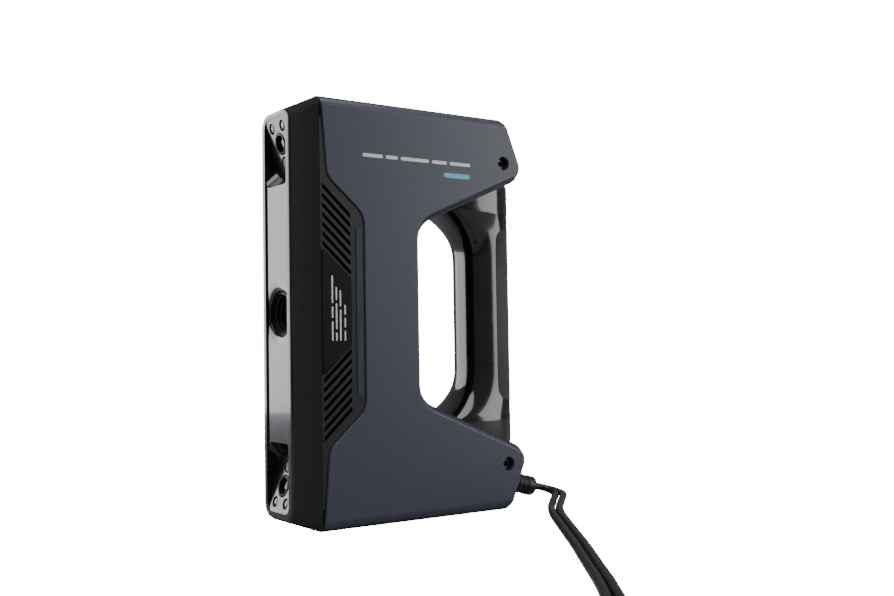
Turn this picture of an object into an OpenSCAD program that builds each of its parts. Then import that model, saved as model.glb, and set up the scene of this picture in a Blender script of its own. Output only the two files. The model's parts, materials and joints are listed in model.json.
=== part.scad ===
// Hand-held structured-light scanner: a tall body with a projector between two toed-in cameras,
// two arms and a D-handle behind it, and a twin lead out of the foot of the lower arm.
// +Z up, lenses towards -Y, handle towards +Y. Modules work in depth behind the front rim, and
// placed() moves them so that the origin is below the middle of the body.

/* [Body] */
// Height of the body
total_h = 267.5; // [262:0.5:274]
// Width over the two side panels
total_w = 76; // [74:0.5:80]
// Depth from the front rim to the end of the cable gland
total_d = 206; // [202:0.5:212]
// Depth of the chamfered nose
nose_d = 12; // [11:0.5:13]
// Width of the flat front rim
rim_w = 38; // [37:0.5:40]

/* [Side panels] */
// Thickness of a side panel
panel_t = 5; // [4.5:0.25:5.5]
// Height of the rounding along the top and bottom edges
edge_h = 6.2; // [5:0.1:7]
// Width of the rounding along the edges of the handle opening
arm_edge = 3.4; // [2:0.1:4]
// Bore of the screw recesses in the panels
recess_bore = 9; // [8.6:0.1:9.6]
// Height of the screw recesses above the foot, and below the top
recess_z = 31; // [29:0.5:33]

/* [Optics] */
// Inward tilt of each camera
toe_in = 14; // [12:0.5:15]
// Height of each camera lens from its end of the body
camera_z = 25.5; // [25:0.1:26]
// Bore of the projector aperture
aperture = 28; // [27:0.5:28.5]

/* [Handle] */
// Width of the grip
grip_w = 35; // [33:0.5:37]
// Depth of the grip
grip_d = 36; // [34:0.5:37]
// Travel of the buttons
button_travel = 0.8; // [0.5:0.1:0.9]

/* [Leads] */
// Diameter of each lead
lead_d = 5.2; // [5:0.1:5.4]
// Mean diameter of the coils that the leads are stored in
coil_d = 58; // [56:1:60]

/* [Hidden] */

$fn = 48;
big = 400;
gap = 0.2;                       // between pieces that meet
seg = 8;                         // steps in each rounded corner of an outline
mid_z = total_h / 2;
half_w = total_w / 2;
panel_x = half_w - panel_t;      // inner face of a side panel
reveal = 0.8;                    // dark line left between panel and frame at top and foot
frame_lip = 1.3;                 // how far the frame stands out past the panel at the rear
wall = 2.5;
frame_x = panel_x - 0.3;         // outer face of the frame's web
web_x = frame_x - wall;          // inner face of the web

// the side outline: depth of each corner, and its height above the foot
rear_foot = 156.4;
rear_peak = [171.6, 38.6];
gap_front = 84.4;
gap_foot = 76;
notch_front = 16.5;
notch_back = 42.5;
notch_low = 50;
notch_high = 73;

face_y = 1;                      // glossy face behind the rim
rim_z = 5.25;
rim_r = 9;
lip_y = 1.2;
opening_hw = 15.2;               // clear half width inside the rim
fascia_hw = 16.6;
pocket_r = 5;
pocket_end = 52.7;               // deep end of a pocket at the face, from its end of the body
pocket_depth = 12.5;
lens_y = 4.2;                    // depth of the camera lens behind the rim

bench_y = 26;
bench_t = 3;
fan_y = 66.8;
fan_t = 10;
fan_hw = 22;

handle_rear = 178.5;
handle_front = handle_rear - grip_d;
handle_p = 2.8;                  // exponent of the grip's rounded section
handle_wall = 2.4;
spine_z = 45;
rear_slope = 0.392;
pad_z = 73;
pad_y = 161.5;
button_z = 203;
small_button_z = 215;
small_button_x = 5;
button_top = 220.4;              // upper edge of the button panel
board_y = 168;

gland_tilt = 15.3;
gland_len = 44.4;
gland_r = 7;
gland_y = total_d - gland_len * cos(gland_tilt) - (gland_r - 1.2) * sin(gland_tilt);
gland_z = gland_r * cos(gland_tilt) + gland_len * sin(gland_tilt) + 1;
cord_x = 2.9;

recess_y = 154;
recess_places = [[recess_y, recess_z], [recess_y, total_h - recess_z]];
frame_bolts = [[60, 10], [60, total_h - 10], [78, 62], [78, total_h - 62]];
bench_bolts = [[24, 30], [-24, 30], [24, total_h - 30], [-24, total_h - 30]];
handle_bolts = [[170, 92], [170, total_h - 92]];

lead_r = lead_d / 2;
coil_turns = 3;                  // turns side by side, and layers
coil_in = (coil_d - coil_turns * lead_d) / 2;
coil_out = (coil_d + coil_turns * lead_d) / 2;
coil_h = coil_turns * lead_d;
usb_coil_at = [338, -170.5];
power_coil_at = [387.5, -114];

// centre lines of the two leads from the gland to their coils, in the part's own frame
usb_route = [
    [2.9, 102.2, 8], [2.9, 104, 7.8], [3.9, 107.9, 6.9], [6.6, 110.8, 5.6], [10.9, 112, 4.2],
    [14.4, 111.2, 3.2], [16.6, 109.6, 2.8], [30.5, 96.6, 2.6], [44.5, 83.4, 2.6], [59, 70, 2.6],
    [72, 59.5, 2.6], [86.5, 48.6, 2.6], [115, 29.3, 2.6], [142.5, 10.8, 2.6], [170.3, -7.8, 2.6],
    [194.5, -24.7, 2.6], [218.4, -41.4, 2.6], [243.5, -58.8, 2.6], [266, -75.5, 2.6],
    [278, -85.5, 2.6], [288.5, -97, 2.6], [296.5, -111, 2.6], [301.3, -127, 2.6],
    [303.3, -143, 2.6], [303.8, -157, 2.6], [303.8, -170.5, 2.6]];
power_route = [
    [-2.9, 102.2, 8], [-2.9, 104, 7.8], [-1.9, 109.3, 6.8], [1.1, 113.8, 5.5], [5.6, 116.7, 4.3],
    [10.9, 117.8, 3.3], [16.2, 116.7, 2.8], [20.8, 113.7, 2.6], [34.8, 100.4, 2.6],
    [48.8, 87.1, 2.6], [62.7, 73.9, 2.6], [75.2, 63.8, 2.6], [89.5, 53.1, 2.6], [118, 33.8, 2.6],
    [145.5, 15.3, 2.6], [173.3, -3.3, 2.6], [197.5, -20.2, 2.6], [221.4, -36.9, 2.6],
    [246.5, -54.3, 2.6], [269.5, -71, 2.6], [285, -81.5, 2.6], [299, -89.5, 2.6], [313, -95, 2.6],
    [327, -98, 2.6], [339, -100.5, 2.6], [348, -104, 2.6], [352.2, -109, 2.6], [353.3, -114, 2.6]];

// --- outlines and lofts ---

function xy(p) = [p[0], p[1]];
function unit(v) = v / norm(v);
function cross2(a, b) = a[0] * b[1] - a[1] * b[0];
function left_of(a, b) = let (v = unit(b - a)) [-v[1], v[0]];
function meet(p, u, q, v) = p + u * cross2(q - p, v) / cross2(u, v);
function turn_to(a, b) = b - a > 180 ? b - a - 360 : b - a < -180 ? b - a + 360 : b - a;

// arc of radius r between the edges that meet at corner c
function corner_arc(p, c, n, r) =
    let (u = unit(p - c), v = unit(n - c), half = acos(u * v) / 2,
         hub = c + unit(u + v) * r / sin(half),
         a = c + u * r / tan(half) - hub, b = c + v * r / tan(half) - hub,
         start = atan2(a[1], a[0]), sweep = turn_to(start, atan2(b[1], b[0])))
    [for (i = [0:seg]) hub + r * [cos(start + sweep * i / seg), sin(start + sweep * i / seg)]];

// outline through corners given as [a, b, radius]
function rounded(c) = let (n = len(c))
    [for (i = [0:n - 1]) each corner_arc(xy(c[(i + n - 1) % n]), xy(c[i]), xy(c[(i + 1) % n]), c[i][2])];

// corners moved inwards by d[i] along the edge that follows corner i
function inset(c, d) = let (n = len(c))
    [for (i = [0:n - 1])
        let (a = xy(c[(i + n - 1) % n]), b = xy(c[i]), e = xy(c[(i + 1) % n]),
             di = d[(i + n - 1) % n], dj = d[i],
             m = meet(a + left_of(a, b) * di, b - a, b + left_of(b, e) * dj, e - b),
             bend = sign(cross2(b - a, e - b)))
        [m[0], m[1], max(0.4, c[i][2] - bend * (di + dj) / 2)]];

function mirrored(p) = [p[0], total_h - p[1], p[2]];
function box_corners(hw, low, high, r) = [[-hw, low, r], [hw, low, r], [hw, high, r], [-hw, high, r]];

panel_low = [[nose_d + 0.6, reveal, 2], [rear_foot, reveal, 6],
             [rear_peak[0], rear_peak[1], 9], [gap_front, gap_foot, 18]];
notch_corners = [[notch_back, notch_high, 14], [notch_front, notch_low, 12]];
panel_corners = concat(
    panel_low, [for (i = [3:-1:0]) mirrored(panel_low[i])],
    [for (i = [1:-1:0]) mirrored(notch_corners[i])], notch_corners);
frame_corners = let (low = [[nose_d + gap, 0, 0.5], [rear_foot, 0, 6],
                            [rear_peak[0], rear_peak[1], 9], [gap_front, gap_foot, 18]])
    inset(concat(low, [for (i = [3:-1:0]) mirrored(low[i])]),
          [0, -frame_lip, -frame_lip, -frame_lip, -frame_lip, -frame_lip, 0, 0]);

// solid between rings that have the same number of points, each ring anticlockwise seen from the far end
module loft(rings) {
    n = len(rings[0]);
    m = len(rings);
    polyhedron(
        points = [for (r = rings) each r],
        faces = concat(
            [[for (i = [0:n - 1]) i], [for (i = [n - 1:-1:0]) (m - 1) * n + i]],
            [for (j = [0:m - 2], i = [0:n - 1]) let (k = (i + 1) % n) [j * n + i, (j + 1) * n + i, (j + 1) * n + k]],
            [for (j = [0:m - 2], i = [0:n - 1]) let (k = (i + 1) % n) [j * n + i, (j + 1) * n + k, j * n + k]]));
}

// outline in depth and height, extruded across the width from x0 to x1
module across(outline, x0, x1)
    translate([x0, 0, 0]) rotate([90, 0, 90]) linear_extrude(height = x1 - x0) polygon(outline);
// outline in width and height, extruded backwards from y0 to y1
module back(outline, y0, y1)
    translate([0, y1, 0]) rotate([90, 0, 0]) linear_extrude(height = y1 - y0) polygon(outline);
module bar(x0, x1, y0, y1, z0, z1) translate([x0, y0, z0]) cube([x1 - x0, y1 - y0, z1 - z0]);
module rod_x(r, x0, x1, at) translate([x0, at[0], at[1]]) rotate([0, 90, 0]) cylinder(r = r, h = x1 - x0);
module rod_y(r, y0, y1, at = [0, 0]) translate([at[0], y0, at[1]]) rotate([-90, 0, 0]) cylinder(r = r, h = y1 - y0);

module placed() translate([0, -total_d / 2, 0]) children();
module upside() translate([0, 0, total_h]) mirror([0, 0, 1]) children();
module left_side() mirror([1, 0, 0]) children();
// frame of the upper camera: origin on the plate, -Y along the line of sight
module camera_frame() translate([0, lens_y, total_h - camera_z]) rotate([toe_in, 0, 0]) children();
module gland_frame() translate([0, gland_y, gland_z]) rotate([-90 - gland_tilt, 0, 0]) children();

// --- front ---

function nose_ring(y, in) =
    let (t = y / nose_d, hw = rim_w / 2 + (half_w - 0.4 - rim_w / 2) * t - in, low = rim_z * (1 - t) + 0.4 + in)
    [for (p = rounded(box_corners(hw, low, total_h - low, rim_r - 3 * t - in / 2))) [p[0], y, p[1]]];

module front_bezel() color([0.1, 0.1, 0.11]) difference() {
    loft([nose_ring(nose_d, 0), nose_ring(lip_y, 0)]);
    loft([nose_ring(nose_d + 0.1, 2.4), nose_ring(lip_y + 2.6, 2.4)]);
    back(rounded(box_corners(fascia_hw + 0.3, 7.4, total_h - 7.4, 7)), -1, nose_d + 1);
}

module opening_prism(in, y0, y1)
    back(rounded(box_corners(opening_hw - in, 8.9 + in, total_h - 8.9 - in, 6 - in)), y0, y1);

// the upper pocket: its deep end slopes at 45 degrees and has rounded corners
module pocket(in) intersection() {
    opening_prism(in, -1, 30);
    translate([0, face_y, total_h - pocket_end]) rotate([-45, 0, 0]) translate([0, 0, -20])
        linear_extrude(height = 70)
            polygon(rounded([[-opening_hw + in, -70, pocket_r], [opening_hw - in, -70, pocket_r],
                             [opening_hw - in, -in, pocket_r], [-opening_hw + in, -in, pocket_r]]));
}

module pocket_walls() intersection() {
    back(rounded(box_corners(fascia_hw, 7.7, total_h - 7.7, 7)), lip_y, pocket_depth);
    across([[face_y, total_h - pocket_end - 2.4], [2.8, total_h - pocket_end - 2.4],
            [pocket_depth, total_h - pocket_end + 7.4], [pocket_depth, total_h], [face_y, total_h]], -big, big);
}

module fascia_blank() {
    lip = [for (p = [[lip_y - 0.02, 0], [0.4, 0.02], [0, 0.6]]) nose_ring(p[0], p[1])];
    loft(lip);
    back(rounded(box_corners(fascia_hw, 7.7, total_h - 7.7, 7)), 1, 2.8);
    pocket_walls();
    upside() pocket_walls();
    intersection() {
        back(rounded(box_corners(fascia_hw, 7.7, total_h - 7.7, 7)), 1, 6);
        rod_y(24, 1, 6, [0, mid_z]);
    }
}

module front_fascia() color([0.03, 0.03, 0.035]) difference() {
    fascia_blank();
    opening_prism(0, -1, face_y);
    pocket(0);
    upside() pocket(0);
    // flare around the projector
    translate([0, 0, mid_z]) rotate([90, 0, 0]) rotate_extrude($fn = 72)
        polygon(concat([[0, -7], [aperture / 2, -7]],
                       [for (t = [0:6]) [aperture / 2 + 8.5 * (1 - cos(15 * t)), -1 - 2 * (1 - sin(15 * t))]],
                       [[0, -1]]));
}

module camera_plate() color([0.05, 0.05, 0.055]) difference() {
    intersection() {
        pocket(0.15);
        camera_frame() bar(-20, 20, 0, 1.8, -40, 30);
    }
    camera_frame() {
        rod_y(7.2, -1, 3);
        rod_y(4.4, -1, 3, [0, -12.8]);
        for (x = [-7.2, 7.2]) rod_y(3.5, -1, 3, [x, 10.6]);
    }
}

module camera_barrel() color([0.06, 0.06, 0.065]) camera_frame() rotate([-90, 0, 0]) rotate_extrude()
    polygon([[6, -0.5], [6.9, -0.1], [6.9, 8], [3.6, 8], [3.6, 4.4], [4.4, 4.4], [4.4, 2.2], [5, 2.2], [5, 1], [5.6, 1], [5.6, -0.5]]);

module camera_glass() color([0.12, 0.16, 0.28]) camera_frame() rotate([-90, 0, 0]) rotate_extrude()
    polygon(concat([[0, 4.3], [0, 1.3]], [for (t = [0:15:60]) [4.3 * sin(1.5 * t), 2.5 - 1.2 * cos(1.5 * t)]], [[4.3, 4.3]]));

module camera_body() color([0.25, 0.25, 0.27]) camera_frame() difference() {
    bar(-12, 12, 8.1, 15, -12, 12);
    rod_y(3.6, 8, 13, [0, 0]);
}

module camera_board() color([0.05, 0.3, 0.15]) camera_frame() {
    bar(-14, 14, 15.1, 16.7, -14, 12);
    bar(-9, 9, 16.7, 18.2, -12, -7);
}

module camera_brackets() color([0.6, 0.6, 0.62]) for (side = [0, 1]) flip(side) difference() {
    bar(-9, 9, 17, bench_y - 0.1, total_h - 38, total_h - 14);
    camera_frame() bar(-20, 20, -9, 18.4, -30, 30);
}

module flip(on) if (on == 1) upside() children(); else children();

module led_windows() color([0.75, 0.78, 0.8]) for (side = [0, 1], x = [-7.2, 7.2]) flip(side)
    camera_frame() translate([x, 0, 10.6]) rotate([-90, 0, 0]) rotate_extrude()
        polygon(concat([[0, 2.9], [0, 0.1]], [for (t = [0:22.5:90]) [3.3 * sin(t), 1.2 - 1.1 * cos(t)]], [[3.3, 2.9]]));

module led_boards() color([0.05, 0.3, 0.15]) for (side = [0, 1]) flip(side)
    camera_frame() bar(-12, 12, 3.1, 4.7, 7.6, 13.4);

module fill_lights() color([0.85, 0.85, 0.8]) for (side = [0, 1]) flip(side)
    camera_frame() translate([0, 0, -12.8]) rotate([-90, 0, 0]) rotate_extrude()
        polygon([[0, 0.3], [3.4, 0.3], [4.2, 1], [4.2, 4], [0, 4]]);

// --- optics and electronics ---

module projector_barrel() color([0.08, 0.08, 0.085]) translate([0, 0, mid_z]) rotate([-90, 0, 0])
    rotate_extrude($fn = 72) polygon([
        [12.6, 3.4], [13.7, 3.9], [13.7, 21], [18, 21], [18, bench_y - 0.1], [9, bench_y - 0.1], [9, 16.2],
        [9.9, 16.2], [9.9, 12.4], [9.2, 11.6], [9.8, 10.9], [9.8, 10], [10.8, 10], [10.8, 8.8], [10.3, 8.4],
        [10.8, 8], [11.8, 8], [11.8, 6.2], [11.4, 5.8], [12, 5.3], [12.6, 5.3]]);

module projector_glass() color([0.1, 0.12, 0.2]) translate([0, 0, mid_z]) rotate([-90, 0, 0])
    rotate_extrude($fn = 72) polygon(concat([[0, 16.1], [0, 12.5]],
        [for (t = [0:15:90]) [9.8 * sin(t), 14.7 - 2.2 * cos(t)]], [[9.8, 16.1]]));

module projector_housing() color([0.3, 0.3, 0.32]) difference() {
    bar(-20, 20, bench_y + bench_t + 0.1, 50, mid_z - 21, mid_z + 21);
    rod_y(9, bench_y, 42, [0, mid_z]);
}

module heat_sink() color([0.7, 0.7, 0.72]) {
    bar(-20, 20, 50.1, 53.1, mid_z - 21, mid_z + 21);
    for (i = [-4:4]) bar(i * 4.6 - 0.7, i * 4.6 + 0.7, 53, fan_y - 0.2, mid_z - 21, mid_z + 21);
}

module fan_frame() color([0.08, 0.08, 0.08]) translate([0, fan_y, mid_z]) difference() {
    bar(-fan_hw, fan_hw, 0, fan_t, -fan_hw, fan_hw);
    rod_y(20, -1, fan_t - 2);
    difference() {
        rod_y(20, fan_t - 2.1, fan_t + 1);
        rod_y(8, fan_t - 3, fan_t + 2);
        for (a = [30, 150, 270]) rotate([0, a, 0]) bar(6, 24, fan_t - 3, fan_t + 2, -1.5, 1.5);
    }
    rod_y(1.55, -1, fan_t + 1);
}

module fan_rotor() color([0.12, 0.12, 0.12]) translate([0, fan_y, mid_z]) {
    rod_y(8, 0.8, 7);
    rod_y(1.5, 6.9, 9.8);
    for (i = [0:6]) rotate([0, i * 360 / 7, 0]) translate([13, 3.9, 0]) rotate([35, 0, 0])
        cube([11.4, 1.2, 7.6], center = true);
}

module optical_bench() color([0.72, 0.72, 0.74]) difference() {
    bar(-29.6, 29.6, bench_y, bench_y + bench_t, 7, total_h - 7);
    rod_y(10, bench_y - 1, bench_y + 9, [0, mid_z]);
    for (p = bench_bolts) rod_y(1.7, bench_y - 1, bench_y + 9, p);
    for (z = [64, total_h - 64 - 28]) bar(-16, 16, bench_y - 1, bench_y + 9, z, z + 28);
}

module main_board() color([0.05, 0.32, 0.16]) {
    bar(-28, -26.4, 32, 71, 68, total_h - 68);
    for (z = [80, 112, 146]) bar(-26.5, -24.6, 38, 54, z, z + 16);
    for (z = [76, 104, 132, 160]) bar(-26.5, -22.6, 60, 69, z, z + 20);
}

module io_board() color([0.05, 0.32, 0.16]) {
    bar(-18, 18, 104, 138, 5, 6.6);
    bar(3, 15, 122, 137, 6.5, 14);
    bar(-15, -3, 122, 137, 6.5, 14);
    bar(-14, 14, 108, 114, 6.5, 10);
}

// --- frame, panels and grilles ---

module frame_half() color([0.07, 0.07, 0.075]) {
    inner = inset(frame_corners, [wall, wall, wall, wall, wall, wall, wall, -20]);
    difference() {
        union() {
            difference() {
                across(rounded(frame_corners), 0.05, frame_x);
                across(rounded(inner), -1, web_x);
            }
            for (p = frame_bolts) rod_x(4, 0.05, web_x + 0.5, p);
            for (p = recess_places) rod_x(6.5, 8, 24, p);
            for (p = recess_places) bar(10, 23, p[0] - 2, p[0] + 2, p[1] < mid_z ? 1 : p[1] + 5, p[1] < mid_z ? p[1] - 5 : total_h - 1);
            for (p = bench_bolts) if (p[0] > 0)
                bar(p[0] - 4, web_x + 0.5, bench_y + bench_t + 0.1, 42, p[1] - 5, p[1] + 5);
        }
        for (p = recess_places) {
            rod_x(6.9, 24, half_w, p);
            rod_x(2.6, 7, 30, p);
        }
        for (p = bench_bolts) rod_y(1.5, 20, 40, p);
        gland_frame() translate([0, 0, -30]) cylinder(r = gland_r + 0.1, h = 60);
        for (z = [28, total_h - 88]) translate([0, 158, z]) cylinder(r = 8, h = 60);
        // air windows behind the grille
        for (z = [56, total_h - 56 - 54]) bar(web_x - 1, half_w, 15, 36, z, z + 54);
    }
}

module frame_right() difference() {
    frame_half();
    for (p = frame_bolts) rod_x(1.5, -1, 20, p);
}
module frame_left() left_side() difference() {
    frame_half();
    for (p = frame_bolts) {
        rod_x(1.7, -1, half_w, p);
        rod_x(3.1, frame_x - 3, half_w, p);
    }
}

panel_edges = [edge_h, 1.6, arm_edge, arm_edge - 0.8, arm_edge, 1.6, edge_h, 1, 1, 1, 1, 1];
function edge_inset(full, t) = full > 2 ? full * (1 - cos(t)) : full * pow(1 - cos(t), 2);
panel_hollow = [for (e = panel_edges) max(2.4, e + 0.6)];
panel_skin = 2.2;
panel_steps = 8;                 // layers in the rounding of the cover's edges
function step_angle(i) = 90 * i / panel_steps;

module side_panel() color([0.36, 0.36, 0.41]) difference() {
    union() {
        difference() {
            for (i = [1:panel_steps])
                across(rounded(inset(panel_corners, [for (e = panel_edges) edge_inset(e, step_angle(i - 0.5))])),
                       panel_x, panel_x + panel_t * sin(step_angle(i)));
            across(rounded(inset(panel_corners, panel_hollow)), panel_x - 1, half_w - panel_skin);
        }
        for (p = recess_places) rod_x(6.6, 24.2, half_w - panel_skin + 0.4, p);
    }
    for (p = recess_places) {
        rod_x(recess_bore / 2, 27, half_w + 1, p);
        rod_x(2.75, 20, 30, p);
    }
}

grille_x = half_w - 0.8;
slot_rise = 18.2;
slot_run = 19.6;
slot_h = 2.9;
slot_pitch = 5.9;
slot_y = 13.5;
label_low = 94.5;
grille_low = [[nose_d + gap, 14, 0.3], [nose_d + 1.1, 14, 0.3],
              [notch_front - 0.3, notch_low + 0.2, 12.3], [notch_back - 0.3, notch_high + 0.2, 13.7]];

module slots() for (i = [0:6]) let (z = label_low - 4.6 - i * slot_pitch)
    across([[slot_y, z], [slot_y + slot_run, z + slot_rise], [slot_y + slot_run, z + slot_rise + slot_h],
            [slot_y, z + slot_h]], panel_x - 1, half_w + 1);

module vent_grille() color([0.08, 0.08, 0.08]) difference() {
    across(rounded(concat(grille_low, [for (i = [3:-1:0]) mirrored(grille_low[i])])), panel_x, grille_x);
    slots();
    upside() slots();
}

module label_plate() color([0.02, 0.02, 0.02])
    across(let (low = [[slot_y - 0.5, label_low, 0.8], [slot_y + slot_run, label_low + slot_rise, 0.8]])
        rounded([low[0], low[1], mirrored(low[1]), mirrored(low[0])]), grille_x + 0.05, grille_x + 0.65);

module accent_strip() color([0.2, 0.24, 0.26])
    across(rounded([[37, 82, 0.6], [41.2, 82, 0.6], [41.2, total_h - 82, 0.6], [37, total_h - 82, 0.6]]),
           grille_x + 0.05, grille_x + 0.45);

// --- handle ---

function flare(z) = pow(min(max(98 - min(z, total_h - z), 0), 36) / 27, 2.6);
function rear_at(z) = handle_rear - rear_slope * max(0, spine_z - min(z, total_h - z));
function handle_ring(z, in, n) =
    let (rear = rear_at(z) - in, front = handle_front - 13 * flare(z) + in,
         a = grip_w / 2 + 2 * flare(z) - in, b = (rear - front) / 2, q = 2 / handle_p)
    [for (i = [0:n - 1]) let (c = cos(i * 360 / n), s = sin(i * 360 / n))
        [a * sign(c) * pow(abs(c), q), (rear + front) / 2 + b * sign(s) * pow(abs(s), q), z]];
handle_levels = [8, 45, 56, 62, 65, 68, 71, 74, 78, 82, 87, 92, 98];
function levels() = concat(handle_levels, [for (i = [len(handle_levels) - 1:-1:0]) total_h - handle_levels[i]]);
module handle_loft(in) loft([for (z = levels()) handle_ring(z, in, 44)]);

module pad_window(in) across(rounded(
    [[pad_y + in, pad_z + in, 9], [200, pad_z + in, 1], [200, total_h - pad_z - in, 1], [pad_y + in, total_h - pad_z - in, 9]]),
    -big, big);

module button_window(in, y0, y1)
    back(rounded(box_corners(8.6 - in, 196.6 + in, button_top - in, 4)), y0, y1);

module handle_solid() difference() {
    union() {
        difference() {
            handle_loft(0);
            intersection() {
                handle_loft(handle_wall);
                bar(-big, big, 0, big, 58, button_top + 1);
            }
        }
        for (p = handle_bolts) rod_x(3.6, -13, 13, p);
    }
    across(rounded(inset(frame_corners, [for (i = [0:7]) -0.1])), -big, big);
    intersection() {
        pad_window(0);
        difference() {
            bar(-40, 40, 150, 190, 60, 210);
            handle_loft(1);
        }
    }
    button_window(0, 171, 190);
    for (z = [small_button_z + 8.6]) rod_y(1.6, 170, 190, [0, z]);
    gland_frame() translate([0, 0, -30]) cylinder(r = gland_r + 0.1, h = 60);
    for (p = handle_bolts) rod_x(1.6, -30, 9, p);
    for (p = handle_bolts) rod_x(2.9, -30, -10.9, p);
}

module handle_right() color([0.02, 0.02, 0.025]) intersection() {
    handle_solid();
    bar(0.05, big, 0, big, 0, big);
}
module handle_left() color([0.02, 0.02, 0.025]) intersection() {
    handle_solid();
    bar(-big, -0.05, 0, big, 0, big);
}

module grip_pad() color([0.12, 0.13, 0.14]) intersection() {
    pad_window(0.2);
    difference() {
        handle_loft(-0.25);
        handle_loft(0.9);
    }
}

module button_panel() color([0.05, 0.05, 0.055]) difference() {
    button_window(0.15, handle_rear - 3.2, handle_rear - 0.3);
    rod_y(5.5, 150, 190, [0, button_z]);
    for (s = [-1, 1]) rod_y(2.9, 150, 190, [s * small_button_x, small_button_z]);
}

module button_cap(r, at) {
    rod_y(r - 0.3, handle_rear - 3.6, handle_rear + 0.5, at);
    translate([at[0], handle_rear + 0.49, at[1]]) rotate([-90, 0, 0])
        cylinder(r1 = r - 0.3, r2 = r - 0.9, h = 0.5);
    rod_y(r + 0.5, handle_rear - 4.2, handle_rear - 3.5, at);
}
module scan_button() color([0.75, 0.76, 0.78]) button_cap(5.5, [0, button_z]);
module plus_button() color([0.2, 0.2, 0.21]) button_cap(2.9, [small_button_x, small_button_z]);
module minus_button() color([0.2, 0.2, 0.21]) button_cap(2.9, [-small_button_x, small_button_z]);

switch_top = handle_rear - 4.2 - button_travel - 0.3;
button_places = [[0, button_z], [small_button_x, small_button_z], [-small_button_x, small_button_z]];
module tact_switches() color([0.6, 0.6, 0.62]) for (p = button_places) {
    bar(p[0] - 2.2, p[0] + 2.2, board_y + 1.65, switch_top - 0.9, p[1] - 2.2, p[1] + 2.2);
    rod_y(1.2, switch_top - 1, switch_top, p);
}
module button_board() color([0.05, 0.32, 0.16])
    bar(-8, 8, board_y, board_y + 1.6, 197, 219);

module status_light() color([0.3, 0.7, 0.9]) rod_y(1.5, handle_rear - 6, handle_rear - 0.5, [0, small_button_z + 8.6]);

// --- gland, fasteners ---

module cable_gland() color([0.05, 0.05, 0.05]) gland_frame() difference() {
    union() {
        cylinder(r = 6.4, h = gland_len - 8);
        translate([0, 0, -6]) cylinder(r = gland_r, h = 16);
        for (i = [0:5]) translate([0, 0, 12 + i * 4]) cylinder(r1 = gland_r, r2 = 6.7, h = 2.4);
    }
    for (s = [-1, 1]) translate([s * cord_x, 0, -7]) cylinder(r = lead_r - 0.1, h = 60);
}
module gland_nut() color([0.07, 0.07, 0.07]) gland_frame() difference() {
    translate([0, 0, gland_len - 7.9]) {
        cylinder(r = gland_r, h = 6.6);
        translate([0, 0, 6.6]) cylinder(r1 = gland_r, r2 = gland_r - 1.2, h = 1.3);
    }
    for (s = [-1, 1]) translate([s * cord_x, 0, 0]) cylinder(r = lead_r - 0.1, h = 60);
}

module inner_leads() color([0.1, 0.1, 0.1]) for (s = [-1, 1])
    tube([[s * 9, 137.6, 10.5], [s * 9, 141.5, 11], [s * 8, 145, 14.5], [s * 5.8, 148, 19], [s * 3.8, 151.4, 21.6],
          [s * cord_x, gland_y - 6.4 * cos(gland_tilt), gland_z + 6.4 * sin(gland_tilt)]], 2.2, 8);

module cap_screw(head_r, head_h, socket_r, shank_r, length) {
    difference() {
        cylinder(r = head_r, h = head_h);
        translate([0, 0, head_h - socket_r]) cylinder(r = socket_r, h = head_h, $fn = 6);
    }
    translate([0, 0, -length]) cylinder(r = shank_r, h = length + 0.1);
}
module side_screws() color([0.35, 0.35, 0.37]) for (s = [-1, 1], p = recess_places)
    translate([s * 30.05, p[0], p[1]]) rotate([0, s * 90, 0]) cap_screw(4.2, 4, 2, 2.5, 18);
module frame_screws() color([0.35, 0.35, 0.37]) {
    for (p = frame_bolts) translate([-frame_x + 2.95, p[0], p[1]]) rotate([0, -90, 0]) cap_screw(2.8, 2.6, 1.3, 1.45, 44);
    for (p = handle_bolts) translate([-10.95, p[0], p[1]]) rotate([0, -90, 0]) cap_screw(2.6, 2.4, 1.3, 1.45, 18);
}
module bench_screws() color([0.6, 0.6, 0.62]) for (p = bench_bolts)
    translate([p[0], bench_y - 0.05, p[1]]) rotate([90, 0, 0]) cap_screw(2.7, 2.2, 1.3, 1.45, 12);

// --- leads ---

function tangent(p, i) = unit(p[min(i + 1, len(p) - 1)] - p[max(i - 1, 0)]);
function side_of(t) = unit(cross(t, [0, 0, 1]));
function tube_ring(c, t, r, n) = let (u = side_of(t), v = cross(u, t))
    [for (i = [0:n - 1]) c + r * (cos(i * 360 / n) * u + sin(i * 360 / n) * v)];
module tube(path, r, n) loft([for (i = [len(path) - 1:-1:0]) tube_ring(path[i], tangent(path, i), r, n)]);

module coil_solid(at) translate([at[0], at[1], 0]) rotate_extrude($fn = 48)
    polygon([[coil_in, 0.05], [coil_out, 0.05], [coil_out, coil_h], [coil_in, coil_h]]);

module tie(at, angle) translate([at[0], at[1], 0]) rotate([0, 0, angle]) difference() {
    bar(coil_in - 1.8, coil_out + 1.4, -3.5, 3.5, 0, coil_h + 1.3);
    bar(coil_in - 0.6, coil_out + 0.2, -4, 4, -1, coil_h + 0.2);
}

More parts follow.
